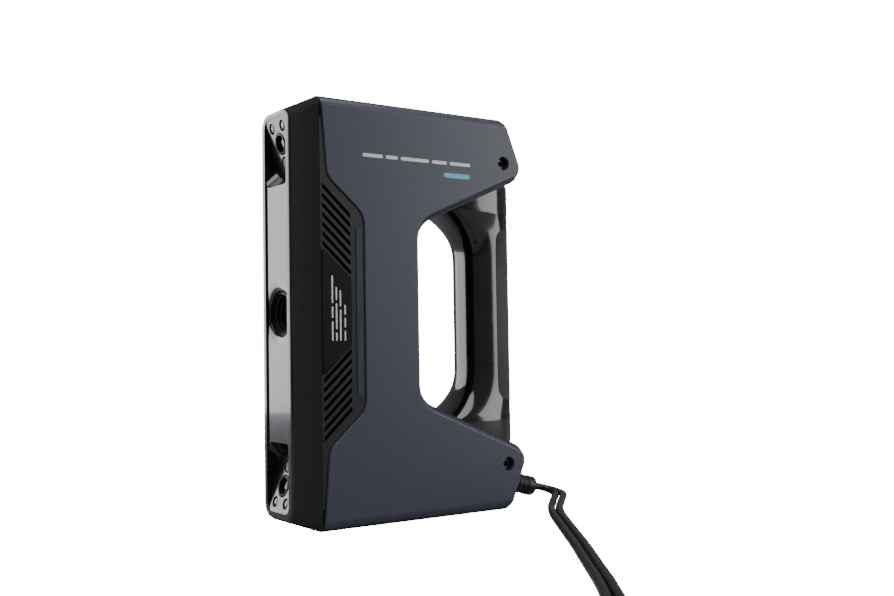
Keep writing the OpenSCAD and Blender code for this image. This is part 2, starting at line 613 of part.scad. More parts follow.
plug_run = -22;                  // the plugs lie on the coils along this chord
module usb_cord() color([0.08, 0.08, 0.085]) tube(usb_route, lead_r, 8);
module usb_coil() color([0.08, 0.08, 0.085]) coil_solid(usb_coil_at);
module usb_tie() color([0.03, 0.03, 0.03]) tie(usb_coil_at, 80);
module usb_plug() color([0.1, 0.1, 0.1]) translate([usb_coil_at[0], usb_coil_at[1] + plug_run, coil_h + 4]) {
    translate([-16, -8, -4]) cube([32, 16, 8]);
    translate([15.9, -6, -2.25]) difference() {
        cube([18.5, 12, 4.5]);
        translate([3, 0.5, 0.5]) cube([20, 11, 3.5]);
    }
    translate([18, -5.2, 0]) cube([15.5, 10.4, 1.6]);
}
module power_cord() color([0.08, 0.08, 0.085]) tube(power_route, lead_r, 8);
module power_coil() color([0.08, 0.08, 0.085]) coil_solid(power_coil_at);
module power_tie() color([0.03, 0.03, 0.03]) tie(power_coil_at, 80);
plug_barrel_r = 2.75;
module power_plug() color([0.1, 0.1, 0.1])
    translate([power_coil_at[0], power_coil_at[1] + plug_run, coil_h + 5]) rotate([0, 90, 0]) difference() {
        union() {
            translate([0, 0, -16]) cylinder(r = 5, h = 32);
            translate([0, 0, 15.9]) cylinder(r = plug_barrel_r, h = 9.6);
        }
        translate([0, 0, 17]) cylinder(r = 1.05, h = 20);
    }

placed() front_bezel();
placed() front_fascia();
placed() camera_plate();  // camera_plate_upper
placed() upside() camera_plate();  // camera_plate_lower
placed() camera_barrel();  // camera_barrel_upper
placed() upside() camera_barrel();  // camera_barrel_lower
placed() camera_glass();  // camera_glass_upper
placed() upside() camera_glass();  // camera_glass_lower
placed() camera_body();  // camera_body_upper
placed() upside() camera_body();  // camera_body_lower
placed() camera_board();  // camera_board_upper
placed() upside() camera_board();  // camera_board_lower
placed() camera_brackets();
placed() led_windows();
placed() led_boards();
placed() fill_lights();
placed() projector_barrel();
placed() projector_glass();
placed() projector_housing();
placed() heat_sink();
placed() fan_frame();
placed() fan_rotor();
placed() optical_bench();
placed() main_board();
placed() io_board();
placed() frame_left();
placed() frame_right();
placed() left_side() side_panel();  // side_panel_left
placed() side_panel();  // side_panel_right
placed() left_side() vent_grille();  // vent_grille_left
placed() vent_grille();  // vent_grille_right
placed() left_side() label_plate();  // label_plate_left
placed() label_plate();  // label_plate_right
placed() left_side() accent_strip();  // accent_strip_left
placed() accent_strip();  // accent_strip_right
placed() handle_left();
placed() handle_right();
placed() grip_pad();
placed() button_panel();
placed() button_board();
placed() scan_button();
placed() plus_button();
placed() minus_button();
placed() tact_switches();
placed() status_light();
placed() cable_gland();
placed() gland_nut();
placed() inner_leads();
placed() side_screws();
placed() frame_screws();
placed() bench_screws();
usb_cord();
usb_coil();
usb_tie();
usb_plug();
power_cord();
power_coil();
power_tie();
power_plug();
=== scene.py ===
"""Looks of a hand-held structured-light scanner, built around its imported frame.

+Z is up, the lenses look towards -Y and the handle is towards +Y. Lengths are in metres, and mm() turns
millimetres into them.
"""

import json
import math

import bmesh
import bpy
from mathutils import Matrix, Vector
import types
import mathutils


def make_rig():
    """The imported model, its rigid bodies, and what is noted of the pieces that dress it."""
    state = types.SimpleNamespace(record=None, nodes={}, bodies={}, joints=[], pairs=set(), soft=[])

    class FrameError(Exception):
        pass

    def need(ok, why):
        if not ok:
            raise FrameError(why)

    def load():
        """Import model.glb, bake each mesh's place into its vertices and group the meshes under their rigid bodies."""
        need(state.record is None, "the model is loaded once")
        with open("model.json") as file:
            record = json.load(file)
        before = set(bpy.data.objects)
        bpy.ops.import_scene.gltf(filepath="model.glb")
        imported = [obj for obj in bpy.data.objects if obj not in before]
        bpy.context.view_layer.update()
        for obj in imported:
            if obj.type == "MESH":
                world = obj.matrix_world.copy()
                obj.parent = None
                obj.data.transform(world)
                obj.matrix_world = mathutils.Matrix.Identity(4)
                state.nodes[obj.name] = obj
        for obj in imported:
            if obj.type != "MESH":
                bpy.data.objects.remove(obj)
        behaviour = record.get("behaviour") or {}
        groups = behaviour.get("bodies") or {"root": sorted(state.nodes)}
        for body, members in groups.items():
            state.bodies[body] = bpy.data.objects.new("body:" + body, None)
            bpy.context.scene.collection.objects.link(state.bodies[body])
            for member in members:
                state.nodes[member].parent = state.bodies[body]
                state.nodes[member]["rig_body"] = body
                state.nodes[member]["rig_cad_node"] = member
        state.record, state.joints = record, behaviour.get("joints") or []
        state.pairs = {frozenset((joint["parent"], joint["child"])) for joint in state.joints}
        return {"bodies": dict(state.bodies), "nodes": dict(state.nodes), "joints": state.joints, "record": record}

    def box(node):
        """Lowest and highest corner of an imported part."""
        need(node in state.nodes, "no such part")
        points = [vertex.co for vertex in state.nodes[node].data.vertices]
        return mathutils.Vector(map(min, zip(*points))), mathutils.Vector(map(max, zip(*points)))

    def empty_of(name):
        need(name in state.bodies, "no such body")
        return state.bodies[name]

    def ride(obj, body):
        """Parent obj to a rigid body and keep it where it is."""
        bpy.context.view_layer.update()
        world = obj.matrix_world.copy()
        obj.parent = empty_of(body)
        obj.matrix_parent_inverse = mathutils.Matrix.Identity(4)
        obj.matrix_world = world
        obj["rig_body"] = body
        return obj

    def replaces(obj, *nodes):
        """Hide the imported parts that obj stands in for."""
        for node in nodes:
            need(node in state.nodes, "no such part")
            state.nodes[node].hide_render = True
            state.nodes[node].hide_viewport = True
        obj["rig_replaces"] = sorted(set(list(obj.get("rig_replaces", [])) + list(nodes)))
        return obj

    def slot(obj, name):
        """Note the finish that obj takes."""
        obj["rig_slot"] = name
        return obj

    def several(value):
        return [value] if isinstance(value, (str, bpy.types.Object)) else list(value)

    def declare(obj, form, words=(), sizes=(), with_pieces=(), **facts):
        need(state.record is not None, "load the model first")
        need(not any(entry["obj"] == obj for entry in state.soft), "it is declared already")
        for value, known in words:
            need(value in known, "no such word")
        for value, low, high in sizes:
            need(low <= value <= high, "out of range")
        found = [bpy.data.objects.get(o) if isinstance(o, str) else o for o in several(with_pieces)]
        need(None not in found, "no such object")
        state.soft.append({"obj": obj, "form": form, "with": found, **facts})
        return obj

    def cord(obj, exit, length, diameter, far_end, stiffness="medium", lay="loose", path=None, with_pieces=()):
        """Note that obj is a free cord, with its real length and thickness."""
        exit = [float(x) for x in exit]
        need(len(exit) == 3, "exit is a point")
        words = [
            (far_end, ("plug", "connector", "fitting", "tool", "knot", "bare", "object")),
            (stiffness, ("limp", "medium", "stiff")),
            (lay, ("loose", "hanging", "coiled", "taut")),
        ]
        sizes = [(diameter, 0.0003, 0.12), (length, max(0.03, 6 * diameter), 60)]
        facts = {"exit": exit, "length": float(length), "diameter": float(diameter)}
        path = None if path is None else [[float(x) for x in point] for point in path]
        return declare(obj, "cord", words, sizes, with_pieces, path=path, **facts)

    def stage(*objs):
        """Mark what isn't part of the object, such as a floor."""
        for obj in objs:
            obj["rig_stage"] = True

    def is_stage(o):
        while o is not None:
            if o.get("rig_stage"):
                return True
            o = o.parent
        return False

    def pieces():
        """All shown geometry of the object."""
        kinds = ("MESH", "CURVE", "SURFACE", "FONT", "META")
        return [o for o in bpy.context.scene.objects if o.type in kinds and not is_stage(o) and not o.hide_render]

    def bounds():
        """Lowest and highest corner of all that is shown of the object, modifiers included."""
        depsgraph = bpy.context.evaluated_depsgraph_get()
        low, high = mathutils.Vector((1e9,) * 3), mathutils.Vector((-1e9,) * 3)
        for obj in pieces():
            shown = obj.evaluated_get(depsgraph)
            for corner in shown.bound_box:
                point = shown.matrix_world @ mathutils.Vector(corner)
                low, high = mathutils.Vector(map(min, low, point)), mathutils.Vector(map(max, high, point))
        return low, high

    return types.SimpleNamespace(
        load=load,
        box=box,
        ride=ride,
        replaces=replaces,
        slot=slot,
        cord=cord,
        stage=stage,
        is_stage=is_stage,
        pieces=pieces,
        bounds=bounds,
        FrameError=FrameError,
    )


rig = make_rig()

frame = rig.load()
cad_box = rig.bounds()
NODES = frame["nodes"]
ROOT = "scanner"


def mm(*values):
    """Millimetres to metres: one number, or a vector of several."""
    return values[0] / 1000 if len(values) == 1 else Vector(v / 1000 for v in values)


HEIGHT = mm(267.5)
HALF_W = mm(38)
DEPTH = mm(206)
MID_Z = HEIGHT / 2
BACK = DEPTH / 2                 # outlines are written as depth behind the rim, y = depth - BACK
PANEL_T = mm(5)
PANEL_X = HALF_W - PANEL_T
LEAD_D = mm(5.2)
LEAD_R = LEAD_D / 2


# --- camera and leads, which settle how far the object spreads ---


def add_camera():
    data = bpy.data.cameras.new("camera")
    data.sensor_width = 36
    data.lens = 42.685
    data.clip_start = 0.01
    camera = bpy.data.objects.new("camera", data)
    bpy.context.scene.collection.objects.link(camera)
    right = Vector((0.56986, 0.82159, -0.01604))
    up = Vector((0.046227, -0.012561, 0.998851))
    behind = Vector((0.82044, -0.56995, -0.045137))
    camera.matrix_world = Matrix.Translation((0.61009, -0.39552, 0.11173)) @ Matrix(
        (right, up, behind)
    ).transposed().to_4x4()
    bpy.context.scene.camera = camera


USB_ROUTE = [
    (2.9, 102.2, 8), (2.9, 104, 7.8), (3.9, 107.9, 6.9), (6.6, 110.8, 5.6), (10.9, 112, 4.2),
    (14.4, 111.2, 3.2), (16.6, 109.6, 2.8), (30.5, 96.6, 2.6), (44.5, 83.4, 2.6), (59, 70, 2.6),
    (72, 59.5, 2.6), (86.5, 48.6, 2.6), (115, 29.3, 2.6), (142.5, 10.8, 2.6), (170.3, -7.8, 2.6),
    (194.5, -24.7, 2.6), (218.4, -41.4, 2.6), (243.5, -58.8, 2.6), (266, -75.5, 2.6),
    (278, -85.5, 2.6), (288.5, -97, 2.6), (296.5, -111, 2.6), (301.3, -127, 2.6),
    (303.3, -143, 2.6), (303.8, -157, 2.6), (303.8, -170.5, 2.6),
]
POWER_ROUTE = [
    (-2.9, 102.2, 8), (-2.9, 104, 7.8), (-1.9, 109.3, 6.8), (1.1, 113.8, 5.5), (5.6, 116.7, 4.3),
    (10.9, 117.8, 3.3), (16.2, 116.7, 2.8), (20.8, 113.7, 2.6), (34.8, 100.4, 2.6),
    (48.8, 87.1, 2.6), (62.7, 73.9, 2.6), (75.2, 63.8, 2.6), (89.5, 53.1, 2.6), (118, 33.8, 2.6),
    (145.5, 15.3, 2.6), (173.3, -3.3, 2.6), (197.5, -20.2, 2.6), (221.4, -36.9, 2.6),
    (246.5, -54.3, 2.6), (269.5, -71, 2.6), (285, -81.5, 2.6), (299, -89.5, 2.6), (313, -95, 2.6),
    (327, -98, 2.6), (339, -100.5, 2.6), (348, -104, 2.6), (352.2, -109, 2.6), (353.3, -114, 2.6),
]
USB_COIL = (338, -170.5)
POWER_COIL = (387.5, -114)
COIL_RADII = (34.2, 29.0, 23.8)  # outer, middle and inner turn
LAYER_Z = (2.6, 7.8, 13.0)
STEP_PART = 0.2                  # share of a turn in which the lead crosses to the next one
TURN_POINTS = 20
TAIL_FROM = 95                   # angle at which the lead leaves the top layer
TAIL = [
    (-6.5, 23.6, 13.9), (-13, 22.6, 16.2), (-20.5, 20.3, 18.0), (-27.5, 16.3, 18.4), (-33.2, 10.3, 18.4),
    (-37, 3, 18.5), (-38.6, -5, 18.7), (-37.2, -13, 19.1), (-32.8, -19, 19.5),
]


def coil_points(at, start):
    """Three layers of three turns, wound from angle start, until the lead leaves the top layer."""
    radii = [*COIL_RADII, *reversed(COIL_RADII), *COIL_RADII]
    heights = [z for z in LAYER_Z for _ in COIL_RADII]
    last = (TAIL_FROM - start) % 360 / 360
    points = []
    for step in range(1, round((len(radii) - 1 + last) * TURN_POINTS) + 1):
        turn, part = divmod(step / TURN_POINTS, 1)
        here = int(turn)
        after = min(here + 1, len(radii) - 1)
        blend = max(0, (part - 1 + STEP_PART) / STEP_PART)
        blend = blend * blend * (3 - 2 * blend)
        radius = radii[here] + (radii[after] - radii[here]) * blend
        z = heights[here] + (heights[after] - heights[here]) * blend
        angle = math.radians(start + 360 * part)
        points.append((at[0] + radius * math.cos(angle), at[1] + radius * math.sin(angle), z))
    return points


def add_lead(name, inside, route, at, start, plug_end):
    """One lead from inside the gland along its route, round its coil and into its plug."""
    tail = [(at[0] + x, at[1] + y, z) for x, y, z in TAIL]
    points = [inside, *route, *coil_points(at, start), *tail, *plug_end]
    data = bpy.data.curves.new(name, "CURVE")
    data.dimensions = "3D"
    data.bevel_depth = LEAD_R
    data.bevel_resolution = 5
    data.resolution_u = 5
    spline = data.splines.new("BEZIER")
    spline.bezier_points.add(len(points) - 1)
    for knot, point in zip(spline.bezier_points, points):
        knot.co = mm(*point)
        knot.handle_left_type = knot.handle_right_type = "AUTO"
    lead = bpy.data.objects.new(name, data)
    bpy.context.scene.collection.objects.link(lead)
    return lead


add_camera()
usb_lead = add_lead(
    "usb_lead", (2.9, 97.5, 9.3), USB_ROUTE, USB_COIL, 180, [(312, -192.5, 19.6), (322.5, -192.5, 19.6)]
)
power_lead = add_lead(
    "power_lead", (-2.9, 97.5, 9.3), POWER_ROUTE, POWER_COIL, 180, [(361.5, -136, 20.3), (372, -136, 20.6)]
)


# --- shader graphs written as expressions ---


class Wire:
    """A socket on which Python arithmetic builds nodes."""

    def __init__(self, maker, socket):
        self.maker = maker
        self.socket = socket

    def _math(self, operation, first, second=0.0):
        return self.maker.node("ShaderNodeMath", {"operation": operation}, [first, second])

    def __add__(self, other):
        return self._math("ADD", self, other)

    __radd__ = __add__

    def __mul__(self, other):
        return self._math("MULTIPLY", self, other)

    __rmul__ = __mul__

    def __sub__(self, other):
        return self._math("SUBTRACT", self, other)

    def __rsub__(self, other):
        return self._math("SUBTRACT", other, self)

    def size(self):
        return self._math("ABSOLUTE", self)


class Nodes:
    """A node tree and the one way that nodes are added to it."""

    def __init__(self, tree):
        self.tree = tree

    def node(self, kind, settings=None, inputs=(), out=0, **named):
        """Adds any node: its settings first, then the values or links of its sockets."""
        made = self.tree.nodes.new(kind)
        for key, value in (settings or {}).items():
            setattr(made, key, value)
        pairs = list(enumerate(inputs)) + [(key.replace("_", " "), value) for key, value in named.items()]
        for key, value in pairs:
            if isinstance(value, Wire):
                self.tree.links.new(value.socket, made.inputs[key])
            else:
                made.inputs[key].default_value = value
        return Wire(self, made.outputs[out])


class Finish(Nodes):
    """A material and the nodes behind its surface."""

    def __init__(self, name, **constants):
        self.material = bpy.data.materials.new(name)
        self.material.use_nodes = True
        super().__init__(self.material.node_tree)
        self.surface = self.tree.nodes["Principled BSDF"]
        self.place = self.node("ShaderNodeTexCoord", out="Object")
        for socket, value in constants.items():
            self.surface.inputs[socket.replace("_", " ")].default_value = value

    def noise(self, scale, detail=3.0, roughness=0.55, stretch=None):
        return self.node(
            "ShaderNodeTexNoise", None, out="Fac",
            Vector=self.stretched(stretch), Scale=scale, Detail=detail, Roughness=roughness,
        )

    def cells(self, scale, out="Distance", feature="F1", stretch=None):
        return self.node(
            "ShaderNodeTexVoronoi", {"feature": feature}, out=out, Vector=self.stretched(stretch), Scale=scale
        )

    def stretched(self, by):
        if by is None:
            return self.place
        return self.node("ShaderNodeMapping", None, out="Vector", Vector=self.place, Scale=by)

    def axis(self, name):
        return self.node("ShaderNodeSeparateXYZ", None, [self.place], out=name)

    def ramp(self, value, low, high):
        """0 at low, 1 at high, held outside."""
        return self.node("ShaderNodeMapRange", {"clamp": True}, [value, low, high, 0.0, 1.0])

    def mix(self, amount, first, second):
        made = self.tree.nodes.new("ShaderNodeMix")
        made.data_type = "RGBA"
        for index, value in ((0, amount), (6, first), (7, second)):
            if isinstance(value, Wire):
                self.tree.links.new(value.socket, made.inputs[index])
            else:
                made.inputs[index].default_value = value
        return Wire(self, made.outputs[2])

    def feed(self, socket, wire):
        self.tree.links.new(wire.socket, self.surface.inputs[socket])

    def bump(self, height, depth, strength=1.0):
        self.feed("Normal", self.node("ShaderNodeBump", None, out="Normal", Height=height, Strength=strength,
                                      Distance=depth))


def rgb(red, green, blue, alpha=1.0):
    return (red, green, blue, alpha)


def shade(colour, by):
    return rgb(*(min(1, c * by) for c in colour[:3]))


# --- finishes ---


def grained_black(name, colour, roughness=0.55, grain=2600, depth=mm(0.02)):
    """Matte moulding with a fine spark-eroded grain and slight clouding."""
    f = Finish(name, Roughness=roughness)
    cloud = f.noise(14, 4)
    grains = f.cells(grain)
    f.feed("Base Color", f.mix(cloud, shade(colour, 0.8), shade(colour, 1.25)))
    f.feed("Roughness", roughness - 0.06 + 0.12 * f.noise(90, 3))
    f.bump(grains, depth, 0.35)
    return f.material


def gloss_black(name, colour, roughness=0.07):
    """Polished moulding: faint haze, and the shallow waves that moulded gloss parts have."""
    f = Finish(name, Coat_Roughness=0.03, Coat_Weight=0.6)
    haze = f.ramp(f.noise(38, 5, 0.7), 0.45, 0.8)
    f.feed("Base Color", f.mix(haze, rgb(*colour), shade(colour, 1.5)))
    f.feed("Roughness", roughness + 0.07 * haze + 0.02 * f.noise(420, 2))
    f.bump(f.noise(22, 2), mm(0.06), 0.12)
    return f.material


def cover_grey(name, colour):
    """Satin paint over plastic: very fine grain, with a hint of flake."""
    f = Finish(name, Coat_Weight=0.12, Coat_Roughness=0.35, Specular_IOR_Level=0.5)
    fleck = f.ramp(f.cells(5200), 0.1, 0.55)
    cloud = f.noise(9, 3)
    base = f.mix(cloud, shade(colour, 0.95), shade(colour, 1.05))
    f.feed("Base Color", f.mix(0.12 * fleck, base, shade(colour, 1.6)))
    f.feed("Roughness", 0.36 + 0.08 * f.noise(160, 3))
    f.bump(f.cells(3800), mm(0.012), 0.3)
    return f.material


def grip_rubber(name, colour):
    """Soft-touch rubber, worn a little smoother where the palm sits."""
    f = Finish(name, Sheen_Weight=0.25, Sheen_Roughness=0.4)
    palm = f.ramp((f.axis("Z") - MID_Z).size(), mm(20), mm(55))
    f.feed("Base Color", f.mix(f.noise(30, 4), shade(colour, 0.85), shade(colour, 1.2)))
    f.feed("Roughness", 0.6 + 0.16 * palm + 0.05 * f.noise(240, 2))
    f.bump(f.cells(1500), mm(0.05), 0.5)
    return f.material


def machined(name, colour, roughness=0.3, stretch=(1, 60, 1), metallic=1.0):
    """Metal with tool or extrusion lines along one direction."""
    f = Finish(name, Metallic=metallic)
    lines = f.noise(120, 3, 0.6, stretch)
    f.feed("Base Color", f.mix(lines, shade(colour, 0.8), shade(colour, 1.15)))
    f.feed("Roughness", roughness - 0.08 + 0.2 * lines)
    f.bump(lines, mm(0.02), 0.2)
    return f.material


def cast_metal(name, colour):
    f = Finish(name, Metallic=1.0)
    blast = f.noise(1400, 3)
    f.feed("Base Color", f.mix(f.noise(12, 4), shade(colour, 0.85), shade(colour, 1.15)))
    f.feed("Roughness", 0.45 + 0.15 * blast)
    f.bump(blast, mm(0.04), 0.4)
    return f.material


def board_green(name, colour):
    """Solder mask over tracks, with bare tinned pads in a grid."""
    f = Finish(name, Coat_Weight=0.4, Coat_Roughness=0.2)
    tracks = f.ramp(f.cells(230, feature="DISTANCE_TO_EDGE"), 0.02, 0.06)
    pads = 1 - f.ramp(f.cells(420), 0.16, 0.2)
    mask = f.mix(tracks, shade(colour, 1.9), rgb(*colour))
    f.feed("Base Color", f.mix(pads, mask, rgb(0.7, 0.68, 0.6)))
    f.feed("Metallic", pads)
    f.feed("Roughness", 0.42 - 0.12 * pads)
    f.bump(tracks + pads, mm(0.03), 0.3)
    return f.material


def coated_glass(name, colour, painted_reflection_tint, alpha):
    """Lens glass with a painted violet-to-green reflection of its coating: the base colour turns from colour to the
    tint towards the rim, where the glass faces away from the view.
    """
    f = Finish(name, Roughness=0.02, Coat_Weight=1.0, Coat_Roughness=0.01, Alpha=alpha)
    rim = f.node("ShaderNodeLayerWeight", None, [0.35], out="Facing")
    # painted reflection: rim is how far the glass faces away from the view, and it carries the base colour over to the
    # tint
    f.feed("Base Color", f.mix(rim + 0.05 * f.noise(60, 2), rgb(*colour), rgb(*painted_reflection_tint)))
    return f.material


def emitter(name, colour, glow):
    f = Finish(name, Roughness=0.3, Emission_Strength=glow)
    dots = f.ramp(f.cells(900), 0.2, 0.35)
    f.feed("Base Color", f.mix(dots, shade(colour, 1.1), shade(colour, 0.7)))
    f.feed("Emission Color", f.mix(dots, rgb(*colour), shade(colour, 0.5)))
    return f.material


def lead_jacket(name, colour):
    """Smooth flexible jacket with slight drawing marks and dust."""
    f = Finish(name)
    dust = f.ramp(f.noise(70, 5, 0.7), 0.5, 0.75)
    f.feed("Base Color", f.mix(dust, rgb(*colour), shade(colour, 1.7)))
    f.feed("Roughness", 0.38 + 0.18 * dust)
    f.bump(f.noise(900, 2), mm(0.02), 0.25)
    return f.material


def woven_tape(name, colour):
    """Hook-and-loop tape: a woven ground under a fuzz of loops."""
    f = Finish(name, Roughness=0.95, Sheen_Weight=0.5)
    loops = f.cells(1700)
    weave = f.node("ShaderNodeTexWave", {"bands_direction": "DIAGONAL"}, out="Fac", Vector=f.place, Scale=260)
    f.feed("Base Color", f.mix(loops, shade(colour, 0.6), shade(colour, 2.4)))
    f.bump(loops + 0.5 * weave, mm(0.15), 0.8)
    return f.material


def printed(name, colour):
    """Screen-printed ink with soft pinholes."""
    f = Finish(name)
    holes = f.ramp(f.noise(700, 3), 0.2, 0.42)
    f.feed("Base Color", f.mix(holes, shade(colour, 0.75), rgb(*colour)))
    f.feed("Roughness", 0.4 + 0.1 * holes)
    return f.material


FINISHES = {
    "housing_black": grained_black("housing_black", (0.004, 0.004, 0.006), 0.5),
    "gloss_black": gloss_black("gloss_black", (0.006, 0.006, 0.007), 0.12),
    "panel_grey": cover_grey("panel_grey", (0.040, 0.043, 0.068)),
    "label_black": gloss_black("label_black", (0.004, 0.004, 0.005), 0.12),
    "accent_teal": gloss_black("accent_teal", (0.03, 0.045, 0.052), 0.2),
    "pocket_plate": gloss_black("pocket_plate", (0.014, 0.014, 0.016), 0.16),
    "lens_barrel": machined("lens_barrel", (0.025, 0.025, 0.028), 0.38, (1, 1, 1), 0.4),
    "lens_glass": coated_glass("lens_glass", (0.01, 0.014, 0.03), (0.12, 0.05, 0.2), 0.55),
    "led_glass": coated_glass("led_glass", (0.012, 0.012, 0.014), (0.05, 0.05, 0.06), 0.8),
    "led_emitter": emitter("led_emitter", (0.30, 0.27, 0.12), 0.0),
    "camera_case": machined("camera_case", (0.12, 0.12, 0.13), 0.4),
    "cast_alloy": cast_metal("cast_alloy", (0.42, 0.42, 0.44)),
    "fin_alloy": machined("fin_alloy", (0.62, 0.62, 0.65), 0.3),
    "board_green": board_green("board_green", (0.01, 0.10, 0.04)),
    "fan_black": grained_black("fan_black", (0.02, 0.02, 0.02), 0.45, 1800),
    "grip_rubber": grip_rubber("grip_rubber", (0.03, 0.032, 0.036)),
    "key_silver": machined("key_silver", (0.42, 0.43, 0.45), 0.32, (1, 1, 40), 0.9),
    "key_dark": grained_black("key_dark", (0.05, 0.05, 0.055), 0.45, 3000),
    "status_blue": emitter("status_blue", (0.05, 0.32, 0.85), 1.6),
    "screw_dark": machined("screw_dark", (0.10, 0.10, 0.105), 0.34, (30, 1, 1)),
    "switch_metal": machined("switch_metal", (0.5, 0.5, 0.52), 0.3),
    "gland_black": grained_black("gland_black", (0.01, 0.01, 0.011), 0.42, 2200),
    "lead_black": lead_jacket("lead_black", (0.009, 0.009, 0.010)),
    "tie_black": woven_tape("tie_black", (0.012, 0.012, 0.012)),
    "plug_black": grained_black("plug_black", (0.02, 0.02, 0.021), 0.48, 2400),
}
PRINT_WHITE = printed("print_white", (0.75, 0.76, 0.78))
PRINT_CYAN = printed("print_cyan", (0.10, 0.55, 0.72))
PLATED = machined("plated_contact", (0.70, 0.70, 0.71), 0.2, (1, 1, 50))
TONGUE_BLUE = gloss_black("tongue_blue", (0.02, 0.09, 0.35), 0.3)


# --- meshes from outlines ---


def corner_arc(before, corner, after, radius, steps):
    to_before = (before - corner).normalized()
    to_after = (after - corner).normalized()
    half = to_before.angle(to_after) / 2
    hub = corner + (to_before + to_after).normalized() * radius / math.sin(half)
    reach = radius / math.tan(half)
    first = corner + to_before * reach - hub
    sweep = first.angle_signed(corner + to_after * reach - hub)
    start = math.atan2(first.y, first.x)
    return [
        hub + radius * Vector((math.cos(start - sweep * i / steps), math.sin(start - sweep * i / steps)))
        for i in range(steps + 1)
    ]


def rounded(corners, steps=14):
    """Outline through corners given as (a, b, radius)."""
    spots = [Vector(c[:2]) for c in corners]
    count = len(corners)
    return [
        point
        for i in range(count)
        for point in corner_arc(spots[i - 1], spots[i], spots[(i + 1) % count], corners[i][2], steps)
    ]


def inset(corners, by):
    """Moves each edge inwards by by[i], the edge that follows corner i; the outline is anticlockwise."""
    count = len(corners)
    moved = []
    for i in range(count):
        a, b, c = (Vector(corners[k % count][:2]) for k in (i - 1, i, i + 1))
        before, after = (b - a).normalized(), (c - b).normalized()
        cross = before.x * after.y - before.y * after.x
        a_line = a + Vector((-before.y, before.x)) * by[i - 1]
        b_line = b + Vector((-after.y, after.x)) * by[i]
        gap = b_line - a_line
        spot = a_line + before * (gap.x * after.y - gap.y * after.x) / cross
        bend = math.copysign(1, cross)
        moved.append((*spot, max(mm(0.4), corners[i][2] - bend * (by[i - 1] + by[i]) / 2)))
    return moved


def box_corners(half, low, high, radius):
    return [(-half, low, radius), (half, low, radius), (half, high, radius), (-half, high, radius)]


def add_mesh(name, points, faces):
    data = bpy.data.meshes.new(name)
    data.from_pydata([tuple(p) for p in points], [], faces)
    data.validate()
    work = bmesh.new()
    work.from_mesh(data)
    bmesh.ops.remove_doubles(work, verts=work.verts, dist=1e-7)
    bmesh.ops.recalc_face_normals(work, faces=work.faces)
    work.to_mesh(data)
    work.free()
    made = bpy.data.objects.new(name, data)
    bpy.context.scene.collection.objects.link(made)
    return made


def loft(name, rings, closed_ends=True):
    """Solid through rings of the same number of points."""
    count = len(rings[0])
    points = [p for ring in rings for p in ring]
    faces = [
        (j * count + i, j * count + (i + 1) % count, (j + 1) * count + (i + 1) % count, (j + 1) * count + i)
        for j in range(len(rings) - 1)
        for i in range(count)
    ]
    if closed_ends:
        faces += [tuple(range(count)), tuple(range((len(rings) - 1) * count, len(rings) * count))]
    else:
        last = (len(rings) - 1) * count
        faces += [(last + i, last + (i + 1) % count, (i + 1) % count, i) for i in range(count)]
    return add_mesh(name, points, faces)


def lathe(name, profile, place, steps=64):
    """Turns a closed profile of (radius, along) about the Z axis of place."""
    rings = [
        [
            place @ Vector((r * math.cos(2 * math.pi * k / steps), r * math.sin(2 * math.pi * k / steps), h))
            for r, h in profile
        ]
        for k in range(steps)
    ]
    return loft(name, rings, closed_ends=False)


def across(outline, x0, x1, name="cutter"):
    return loft(name, [[(x, y - BACK, z) for y, z in outline] for x in (x0, x1)])


def along_y(outline, y0, y1, name="cutter"):
    return loft(name, [[(x, y - BACK, z) for x, z in outline] for y in (y0, y1)])


def bake_modifiers(piece):
    """Turns the piece's modifiers into its mesh."""
    depsgraph = bpy.context.evaluated_depsgraph_get()
    fixed = bpy.data.meshes.new_from_object(piece.evaluated_get(depsgraph))
    piece.modifiers.clear()
    piece.data = fixed


def carve(piece, *cutters, operation="DIFFERENCE"):
    for cutter in cutters:
        cut = piece.modifiers.new("cut", "BOOLEAN")
        cut.operation = operation
        cut.solver = "EXACT"
        cut.object = cutter
        bake_modifiers(piece)
        bpy.data.objects.remove(cutter)


def soften(piece, width, segments=2, angle=40):
    """Rounds the piece's sharp edges and shades the rest smooth."""
    piece.data.polygons.foreach_set("use_smooth", [True] * len(piece.data.polygons))
    weld = piece.modifiers.new("weld", "WELD")
    weld.merge_threshold = 2e-6
    if width:
        edge = piece.modifiers.new("edges", "BEVEL")
        edge.width = width
        edge.segments = segments
        edge.limit_method = "ANGLE"
        edge.angle_limit = math.radians(angle)
        edge.miter_outer = "MITER_ARC"
    else:
        split = piece.modifiers.new("sharp", "EDGE_SPLIT")
        split.split_angle = math.radians(angle)
        split.use_edge_sharp = False
    shading = piece.modifiers.new("shading", "WEIGHTED_NORMAL")
    shading.keep_sharp = True


def finish_piece(piece, slot, material=None, body=ROOT):
    piece.data.materials.clear()
    piece.data.materials.append(material or FINISHES[slot])
    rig.slot(piece, slot)
    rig.ride(piece, body)
    return piece


# --- covers ---

COVER_LOW = [(12.6, 0.8, 2), (156.4, 0.8, 6), (171.6, 38.6, 9), (84.4, 76, 18)]
COVER_NOTCH = [(42.5, 73, 14), (16.5, 50, 12)]
COVER_EDGES = (6.2, 1.6, 3.4, 2.6, 3.4, 1.6, 6.2, 1, 1, 1, 1, 1)
RECESS_Y = 154
RECESS_Z = (31, 236.5)


def metres(corners):
    return [tuple(mm(v) for v in corner) for corner in corners]


def flipped(corner):
    return (corner[0], HEIGHT - corner[1], corner[2])


def cover_corners():
    low, notch = metres(COVER_LOW), metres(COVER_NOTCH)
    high = [flipped(c) for c in reversed(low)]
    return low + high + [flipped(c) for c in reversed(notch)] + notch


def edge_depth(full, angle):
    """How far the rounding of an edge has come in; narrow edges turn late, as a small bevel does."""
    turned = 1 - math.cos(angle)
    return mm(full) * (turned if full > 2 else turned * turned)


